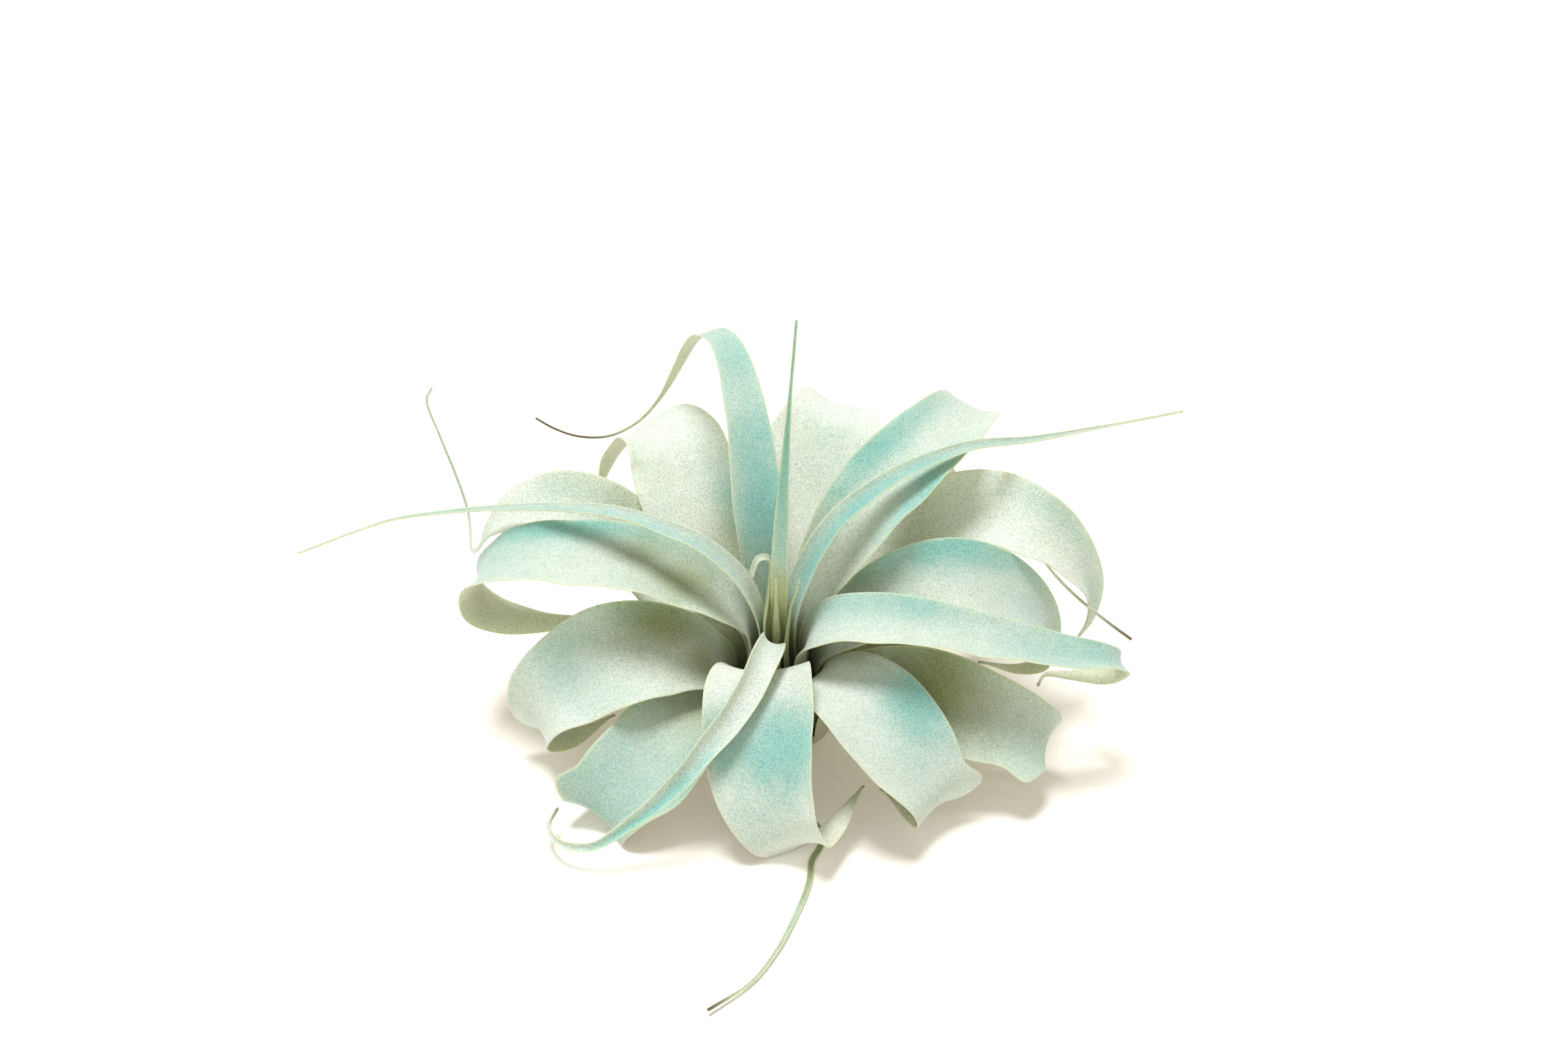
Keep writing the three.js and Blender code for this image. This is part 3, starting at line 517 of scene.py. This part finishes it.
def shape_leaf(name, leaf, sizes):
    """A finished leaf mesh in metres, with its metric map and its colour attributes."""
    mm = 1 / MM
    points, forward, side, up, length = spine_of(leaf, sizes.ring * mm)
    n = len(points) - 1
    s = np.linspace(0, 1, n + 1)
    w = half_width(leaf, s, np.hypot(points[:, 0], points[:, 1]), sizes.spread)
    k = gutter(leaf, s, w)
    roll = np.radians(along(leaf.get("roll", (0, 0)), s))
    side, up = (side * column(np.cos(roll)) + up * column(np.sin(roll)),
                up * column(np.cos(roll)) - side * column(np.sin(roll)))

    bm = slab(next(count for wider, count in COLUMNS if leaf["width"] > wider), n)
    mesh = bpy.data.meshes.new("fine_" + name)
    bm.to_mesh(mesh)
    bm.free()
    flat = np.zeros(len(mesh.vertices) * 3, np.float32)
    mesh.vertices.foreach_get("co", flat)
    x, y, level = flat.reshape(-1, 3).astype(float).T
    i = np.rint((y + 1) / 2 * n).astype(int)
    at, wide, arc = s[i], w[i], k[i] * x

    full = np.minimum(1, wide / FULL_BLADE)
    half = (sizes.margin + (sizes.blade - sizes.margin) * full * (1 - x * x)) * mm / 2
    rim = half * np.sqrt(np.clip(1 - level ** 2, 0, 1))
    stand = horn_at(leaf, at, x) + rim * (np.abs(x) > OUTERMOST)
    sx = wide * np.sin(arc) / k[i] + stand * np.sign(x) * np.cos(arc)
    ux = wide * (1 - np.cos(arc)) / k[i] + stand * np.abs(np.sin(arc))
    ripple = wander(name, at * length, x) * sizes.ripple * mm * np.abs(x) ** 3
    ripple = ripple * np.minimum(1, wide / FULL_RIPPLE) * ease(RIPPLE_FROM, RIPPLE_FULL, at)
    lift = level * half + ripple
    end = rim * (np.abs(y) > OUTERMOST) * np.sign(y)
    place = (points[i] + side[i] * column(sx - np.sin(arc) * lift)
             + up[i] * column(ux + np.cos(arc) * lift) + forward[i] * column(end))
    place = place @ np.array(Matrix.Rotation(sizes.lean, 3, "X")).T
    place[:, 2] = np.maximum(place[:, 2], 0)
    mesh.vertices.foreach_set("co", (place * MM).astype(np.float32).ravel())
    mesh.shade_smooth()
    mesh.update()

    corner = np.zeros(len(mesh.loops), np.int32)
    mesh.loops.foreach_get("vertex_index", corner)
    metric = np.stack([x * leaf["width"] / 2, at * length], 1)[corner] / MM_PER_CM
    mesh.uv_layers.new(name="blade").data.foreach_set("uv", metric.astype(np.float32).ravel())
    for key, value in leaf_colours(leaf, at, at * length, x, level).items():
        layer = mesh.attributes.new(key, "FLOAT", "POINT")
        layer.data.foreach_set("value", value.astype(np.float32))
    return mesh


# ---- materials ----------------------------------------------------------------------------------
def put(tree, kind, inputs=(), **settings):
    """Adds a node; an input is a value to set or a socket to link."""
    node = tree.nodes.new(kind)
    for key, value in settings.items():
        setattr(node, key, value)
    for key, value in dict(inputs).items():
        if isinstance(value, bpy.types.NodeSocket):
            tree.links.new(value, node.inputs[key])
        else:
            node.inputs[key].default_value = value
    return node


def blend(tree, share, a, b, mode="MIX"):
    a, b = ([*c, 1] if isinstance(c, (list, tuple)) and len(c) == 3 else c for c in (a, b))
    return put(tree, "ShaderNodeMix", {0: share, 6: a, 7: b}, data_type="RGBA",
               blend_type=mode).outputs[2]


def sum_of(tree, operation, a, b=0.0, clamp=False):
    return put(tree, "ShaderNodeMath", {0: a, 1: b}, operation=operation,
               use_clamp=clamp).outputs[0]


def between(tree, value, low, high, start=0.0, end=1.0):
    return put(tree, "ShaderNodeMapRange", {0: value, 1: low, 2: high, 3: start, 4: end},
               interpolation_type="SMOOTHSTEP").outputs[0]


def attribute(tree, name):
    return put(tree, "ShaderNodeAttribute", attribute_name=name).outputs["Fac"]


def noise(tree, place, scale, detail, **more):
    inputs = {"Vector": place, "Scale": scale, "Detail": detail, **more}
    return put(tree, "ShaderNodeTexNoise", inputs).outputs["Fac"]


def group_of(name, inputs, outputs, build):
    """A node group made once, with named sockets."""
    tree = bpy.data.node_groups.get(name)
    if tree:
        return tree
    tree = bpy.data.node_groups.new(name, "ShaderNodeTree")
    for label, kind in inputs:
        tree.interface.new_socket(label, in_out="INPUT", socket_type="NodeSocket" + kind)
    for label in outputs:
        tree.interface.new_socket(label, in_out="OUTPUT", socket_type="NodeSocketFloat")
    come, go = tree.nodes.new("NodeGroupInput"), tree.nodes.new("NodeGroupOutput")
    for label, socket in build(tree, come.outputs).items():
        tree.links.new(socket, go.inputs[label])
    return tree


def scale_grain():
    """The fine silvery scales: how thickly they cover, and how they stand up."""
    def build(tree, given):
        fine = noise(tree, given["Place"], given["Per metre"], 2.0, Roughness=0.7)
        clump = noise(tree, given["Place"], CLUMPS, 2.0, Roughness=0.6)
        both = sum_of(tree, "ADD", sum_of(tree, "MULTIPLY", fine, 0.8),
                      sum_of(tree, "MULTIPLY", clump, 0.2))
        return {"Cover": between(tree, both, 0.42, 0.55), "Height": both}
    return group_of("Scale grain", [("Place", "Vector"), ("Per metre", "Float")],
                    ["Cover", "Height"], build)


def long_grain():
    """Faint veins that run the length of a leaf."""
    def build(tree, given):
        drawn = put(tree, "ShaderNodeMapping", {"Vector": given["Map"], "Scale": VEIN_STRETCH})
        vein = noise(tree, drawn.outputs[0], 1.0, 4.0, Roughness=0.65)
        return {"Shade": between(tree, vein, 0.3, 0.7), "Height": vein}
    return group_of("Long grain", [("Map", "Vector")], ["Shade", "Height"], build)


def soft_patches():
    """Cloudy patches, as large as the number of them for each metre makes them."""
    def build(tree, given):
        cloud = noise(tree, given["Place"], given["Per metre"], 3.0, Roughness=0.55)
        return {"Mask": between(tree, cloud, 0.35, 0.68)}
    return group_of("Soft patches", [("Place", "Vector"), ("Per metre", "Float")], ["Mask"], build)


def call_group(tree, group, inputs):
    return put(tree, "ShaderNodeGroup", inputs, node_tree=group).outputs


def new_material(name):
    material = bpy.data.materials.new(name)
    material.use_nodes = True
    tree = material.node_tree
    tree.nodes.clear()
    shader = tree.nodes.new("ShaderNodeBsdfPrincipled")
    tree.links.new(shader.outputs[0], tree.nodes.new("ShaderNodeOutputMaterial").inputs[0])
    return material, tree, shader


def leaf_material(tone, c):
    """Leaf skin: sage, cream and aqua under silvery scales, a pale rim and a dull underside."""
    name = "leaf_skin_" + tone
    if name in bpy.data.materials:
        return bpy.data.materials[name]
    material, tree, shader = new_material(name)
    age = AGES[tone]
    place = put(tree, "ShaderNodeTexCoord").outputs["Object"]
    uv = put(tree, "ShaderNodeUVMap", uv_map="blade").outputs[0]
    grain = call_group(tree, scale_grain(), {"Place": place, "Per metre": SCALES})
    veins = call_group(tree, long_grain(), {"Map": uv})
    small, large = (call_group(tree, soft_patches(), {"Place": place, "Per metre": count})["Mask"]
                    for count in (SMALL_CLOUDS, LARGE_CLOUDS))
    run, under = attribute(tree, "along"), attribute(tree, "under")

    # The colour of the skin: cream towards the heart, aqua in patches, and green at the foot and in
    # the patches of painted shade; the green of the foot is partly the leaf's own and partly
    # painted shade.
    warm = sum_of(tree, "MULTIPLY", between(tree, run, 12.0, 2.0, 0.25, 1.0),
                  sum_of(tree, "ADD", large, 0.3))
    warm = sum_of(tree, "MULTIPLY", attribute(tree, "cream"), warm, clamp=True)
    skin = blend(tree, warm, list(c.sage), list(c.cream))
    cool = sum_of(tree, "ADD", sum_of(tree, "MULTIPLY", small, 0.3), 0.85)
    cool = sum_of(tree, "MULTIPLY", attribute(tree, "aqua"), cool)
    cool = sum_of(tree, "ADD", cool, sum_of(tree, "MULTIPLY", large, 0.2), clamp=True)
    skin = blend(tree, cool, skin, list(c.aqua))
    foot = sum_of(tree, "MAXIMUM", between(tree, run, *age["foot"]), attribute(tree, "green"))
    skin = blend(tree, foot, skin, list(getattr(c, age["green"])))
    skin = blend(tree, sum_of(tree, "MULTIPLY", under, age["dull"]), skin, list(c.under))
    skin = blend(tree, sum_of(tree, "MULTIPLY", veins["Shade"], 0.34), skin,
                 blend(tree, 1.0, skin, VEIN_SHADE, "MULTIPLY"))

    # The silver over it: thin beneath the leaf, at the foot and on the aqua patches. Where the
    # table gives a leaf much silver, as on the upper leaves at the back, it also paints the
    # paleness of a sheen.
    full = sum_of(tree, "ADD", attribute(tree, "silver"), sum_of(tree, "MULTIPLY", small, 0.12))
    full = sum_of(tree, "MULTIPLY", full, between(tree, under, 0.3, 0.7, 1.0, 0.6))
    full = sum_of(tree, "MULTIPLY", full, between(tree, foot, 0.0, 1.0, 1.0, 0.4), clamp=True)
    full = sum_of(tree, "MULTIPLY", full, between(tree, cool, 0.1, 0.9, 1.0, 0.4))
    bare = blend(tree, 1.0, skin, BARE_SHADE, "MULTIPLY")
    skin = blend(tree, grain["Cover"],
                 blend(tree, sum_of(tree, "MULTIPLY", full, 0.5), bare, list(c.silver)),
                 blend(tree, full, skin, list(c.silver)))

    # The rim, the flecks and the dry tip.
    across = sum_of(tree, "ABSOLUTE", attribute(tree, "across"))
    rim = sum_of(tree, "MULTIPLY", between(tree, across, 0.96, 0.995), 0.4)
    skin = blend(tree, rim, skin, list(c.margin))
    fleck = between(tree, noise(tree, place, FLECKS, 1.0), 0.8, 0.84)
    skin = blend(tree, sum_of(tree, "MULTIPLY", fleck, 0.5), skin, FLECK_COLOUR)
    streaks = blend(tree, veins["Shade"], list(c.dry), [v * DRY_STREAK for v in c.dry])
    skin = blend(tree, sum_of(tree, "MULTIPLY", attribute(tree, "dry"), 0.9), skin, streaks)
    tree.links.new(skin, shader.inputs["Base Color"])

    rough = between(tree, grain["Cover"], 0.0, 1.0, 0.62, 0.85)
    tree.links.new(rough, shader.inputs["Roughness"])
    shader.inputs["Specular IOR Level"].default_value = 0.3
    shader.inputs["Subsurface Weight"].default_value = 0.4
    shader.inputs["Subsurface Radius"].default_value = GLOW_THROUGH
    shader.inputs["Subsurface Scale"].default_value = GLOW_DEPTH
    shader.inputs["Sheen Weight"].default_value = 0.25
    shader.inputs["Sheen Roughness"].default_value = 0.45
    height = sum_of(tree, "ADD", grain["Height"], sum_of(tree, "MULTIPLY", veins["Height"], 0.8))
    bump = put(tree, "ShaderNodeBump", {"Height": height, "Strength": 0.5,
                                        "Distance": SCALE_RELIEF})
    tree.links.new(bump.outputs[0], shader.inputs["Normal"])
    return material


def stem_material(c):
    """Dry, fibrous brown with darker furrows."""
    material, tree, shader = new_material("stem_fibre")
    place = put(tree, "ShaderNodeTexCoord").outputs["Object"]
    drawn = put(tree, "ShaderNodeMapping", {"Vector": place, "Scale": (1.0, 1.0, 0.2)}).outputs[0]
    fibre = noise(tree, drawn, FIBRES, 4.0)
    furrows = between(tree, fibre, 0.35, 0.65)
    colour = blend(tree, furrows, [v * FURROW for v in c.stem], list(c.stem))
    tree.links.new(colour, shader.inputs["Base Color"])
    tree.links.new(between(tree, fibre, 0.3, 0.7, 0.95, 0.8), shader.inputs["Roughness"])
    bump = put(tree, "ShaderNodeBump", {"Height": fibre, "Strength": 0.6, "Distance": FIBRE_RELIEF})
    tree.links.new(bump.outputs[0], shader.inputs["Normal"])
    return material


# ---- pieces -------------------------------------------------------------------------------------
def place_piece(mesh, material, node):
    """Puts a finished mesh in the scene in place of its solid."""
    mesh.materials.append(material)
    piece = bpy.data.objects.new(mesh.name, mesh)
    bpy.context.scene.collection.objects.link(piece)
    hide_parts(node)
    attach(piece, "root")


def grow(context, group):
    """Builds every leaf of one group over its solid."""
    sizes, colours = context.scene.airplant_sizes, context.scene.airplant_colours
    for name, leaf in LEAVES.items():
        if leaf["group"] == group:
            tone = leaf.get("tone", "blade")
            mesh = shape_leaf("leaf_" + name, leaf, sizes)
            place_piece(mesh, leaf_material(tone, colours), "leaf_" + name)
    return {"FINISHED"}


def draw_in(co):
    """Pulls a point of the plain cone in to the furrows and scars of the dry leaf bases."""
    radius = math.hypot(co.x, co.y)
    if radius <= 1 * MM:
        return
    turn = math.atan2(co.y, co.x)
    fibre = (math.sin(COARSE_FIBRES * turn + FIBRE_TWIST * co.z) * 0.6
             + math.sin(FINE_FIBRES * turn) * 0.4)
    scar = 0.5 + 0.5 * math.sin(co.z / SCAR_STEP + turn)
    pull = 1 - (FIBRE_DEPTH * (1 + fibre * 0.5) + SCAR_DEPTH * scar) / radius
    co.x, co.y = co.x * pull, co.y * pull


class AIRPLANT_OT_stem(bpy.types.Operator):
    """The short fibrous stem that the leaves grow from, cut flat where it rests"""
    bl_idname = "airplant.stem"
    bl_label = "Stem"

    def execute(self, context):
        sizes = context.scene.airplant_sizes
        tall = sizes.stem_top - STEM_LOW
        bm = bmesh.new()
        bmesh.ops.create_cone(bm, cap_ends=True, segments=STEM_SIDES, depth=tall,
                              radius1=sizes.stem_tip + sizes.stem_slope * tall,
                              radius2=sizes.stem_tip)
        sides = [e for e in bm.edges if abs(e.verts[0].co.z - e.verts[1].co.z) > 0.5 * tall]
        bmesh.ops.subdivide_edges(bm, edges=sides, cuts=STEM_ROWS, use_grid_fill=True)
        bmesh.ops.translate(bm, verts=bm.verts[:], vec=(0, 0, (sizes.stem_top + STEM_LOW) / 2))
        for v in bm.verts:
            draw_in(v.co)
        bmesh.ops.rotate(bm, verts=bm.verts[:], matrix=Matrix.Rotation(sizes.lean, 3, "X"))
        bmesh.ops.bisect_plane(bm, geom=bm.verts[:] + bm.edges[:] + bm.faces[:],
                               plane_co=(0, 0, 0), plane_no=(0, 0, -1), clear_outer=True)
        bmesh.ops.holes_fill(bm, edges=[e for e in bm.edges if e.is_boundary])
        bmesh.ops.recalc_face_normals(bm, faces=bm.faces[:])
        mesh = bpy.data.meshes.new("fine_stem")
        bm.to_mesh(mesh)
        bm.free()
        mesh.shade_smooth()
        place_piece(mesh, stem_material(context.scene.airplant_colours), "stem")
        return {"FINISHED"}


class AIRPLANT_OT_heart(bpy.types.Operator):
    """The spear, the small curled and teal leaves and the upright needle at the heart"""
    bl_idname = "airplant.heart"
    bl_label = "Heart leaves"

    def execute(self, context):
        return grow(context, "heart")


class AIRPLANT_OT_ribbons(bpy.types.Operator):
    """The narrow leaves that taper to long points"""
    bl_idname = "airplant.ribbons"
    bl_label = "Narrow leaves"

    def execute(self, context):
        return grow(context, "ribbon")


class AIRPLANT_OT_straps(bpy.types.Operator):
    """The two strap leaves that reach left and right and fold back under"""
    bl_idname = "airplant.straps"
    bl_label = "Strap leaves"

    def execute(self, context):
        return grow(context, "strap")


class AIRPLANT_OT_broad(bpy.types.Operator):
    """The upper layer of broad leaves"""
    bl_idname = "airplant.broad"
    bl_label = "Broad leaves"

    def execute(self, context):
        return grow(context, "broad")


class AIRPLANT_OT_lower(bpy.types.Operator):
    """The lower layer of broad leaves"""
    bl_idname = "airplant.lower"
    bl_label = "Lower leaves"

    def execute(self, context):
        return grow(context, "lower")


class AIRPLANT_OT_under(bpy.types.Operator):
    """The oldest leaves beneath the plant"""
    bl_idname = "airplant.under"
    bl_label = "Oldest leaves"

    def execute(self, context):
        return grow(context, "under")


def lay_floor(scene, look):
    bm = bmesh.new()
    bmesh.ops.create_grid(bm, x_segments=1, y_segments=1, size=FLOOR_HALF)
    mesh = bpy.data.meshes.new("floor")
    bm.to_mesh(mesh)
    bm.free()
    material, tree, shader = new_material("floor_plain")
    shader.inputs["Base Color"].default_value = (*look.floor, 1)
    shader.inputs["Roughness"].default_value = 0.9
    shader.inputs["Emission Color"].default_value = FLOOR_GLOW
    shader.inputs["Emission Strength"].default_value = FLOOR_GLOW_STRENGTH
    shader.inputs["Specular IOR Level"].default_value = 0.1
    mesh.materials.append(material)
    floor = bpy.data.objects.new("floor", mesh)
    scene.collection.objects.link(floor)


def light_scene(scene, look):
    world = bpy.data.worlds.new("white_surround")
    world.use_nodes = True
    background = world.node_tree.nodes["Background"]
    background.inputs["Color"].default_value = SKY_COLOUR
    background.inputs["Strength"].default_value = look.sky
    scene.world = world
    for name, place, angle, strength in LAMPS:
        light = bpy.data.lights.new(name, "SUN")
        light.angle, light.energy = math.radians(angle), getattr(look, strength)
        light.color = LAMP_COLOUR
        lamp = bpy.data.objects.new(name, light)
        lamp.location = place
        aim = Vector(LAMP_AIM) - lamp.location
        lamp.rotation_euler = aim.to_track_quat("-Z", "Y").to_euler()
        scene.collection.objects.link(lamp)


def stand_camera(scene, look):
    lens = bpy.data.cameras.new("camera")
    lens.lens, lens.sensor_width, lens.clip_start = look.lens, CAMERA_SENSOR, CAMERA_NEAR
    camera = bpy.data.objects.new("camera", lens)
    camera.location = CAMERA_PLACE
    camera.rotation_euler = (math.radians(CAMERA_TILT), 0, 0)
    scene.collection.objects.link(camera)
    scene.camera = camera


class AIRPLANT_OT_stage(bpy.types.Operator):
    """A plain pale floor, pale surroundings, the softbox, the fill light and the camera"""
    bl_idname = "airplant.stage"
    bl_label = "Stage"

    def execute(self, context):
        scene, look = context.scene, context.scene.airplant_stage
        lay_floor(scene, look)
        light_scene(scene, look)
        stand_camera(scene, look)
        scene.view_settings.view_transform = "Standard"
        return {"FINISHED"}


class AIRPLANT_PT_panel(bpy.types.Panel):
    """Sizes, colours and the steps that build the plant"""
    bl_label = "Air Plant"
    bl_idname = "AIRPLANT_PT_panel"
    bl_space_type = "VIEW_3D"
    bl_region_type = "UI"
    bl_category = "Air Plant"

    def draw(self, context):
        layout = self.layout
        for step in STEPS:
            layout.operator(step.bl_idname)
        for owner in GROUPS:
            box, group = layout.box(), getattr(context.scene, owner)
            for key in group.bl_rna.properties.keys():
                if key not in ("rna_type", "name"):
                    box.prop(group, key)


GROUPS = {"airplant_sizes": AIRPLANT_PG_sizes, "airplant_colours": AIRPLANT_PG_colours,
          "airplant_stage": AIRPLANT_PG_stage}
STEPS = (AIRPLANT_OT_stem, AIRPLANT_OT_heart, AIRPLANT_OT_ribbons, AIRPLANT_OT_straps,
         AIRPLANT_OT_broad, AIRPLANT_OT_lower, AIRPLANT_OT_under, AIRPLANT_OT_stage)


def register():
    for cls in (*GROUPS.values(), *STEPS, AIRPLANT_PT_panel):
        bpy.utils.register_class(cls)
    for key, cls in GROUPS.items():
        setattr(bpy.types.Scene, key, bpy.props.PointerProperty(type=cls))


def unregister():
    for key in GROUPS:
        delattr(bpy.types.Scene, key)
    for cls in reversed((*GROUPS.values(), *STEPS, AIRPLANT_PT_panel)):
        bpy.utils.unregister_class(cls)


def main():
    register()
    for step in STEPS:
        family, name = step.bl_idname.split(".")
        getattr(getattr(bpy.ops, family), name)()
    bpy.context.view_layer.update()


if __name__ == "__main__":
    main()
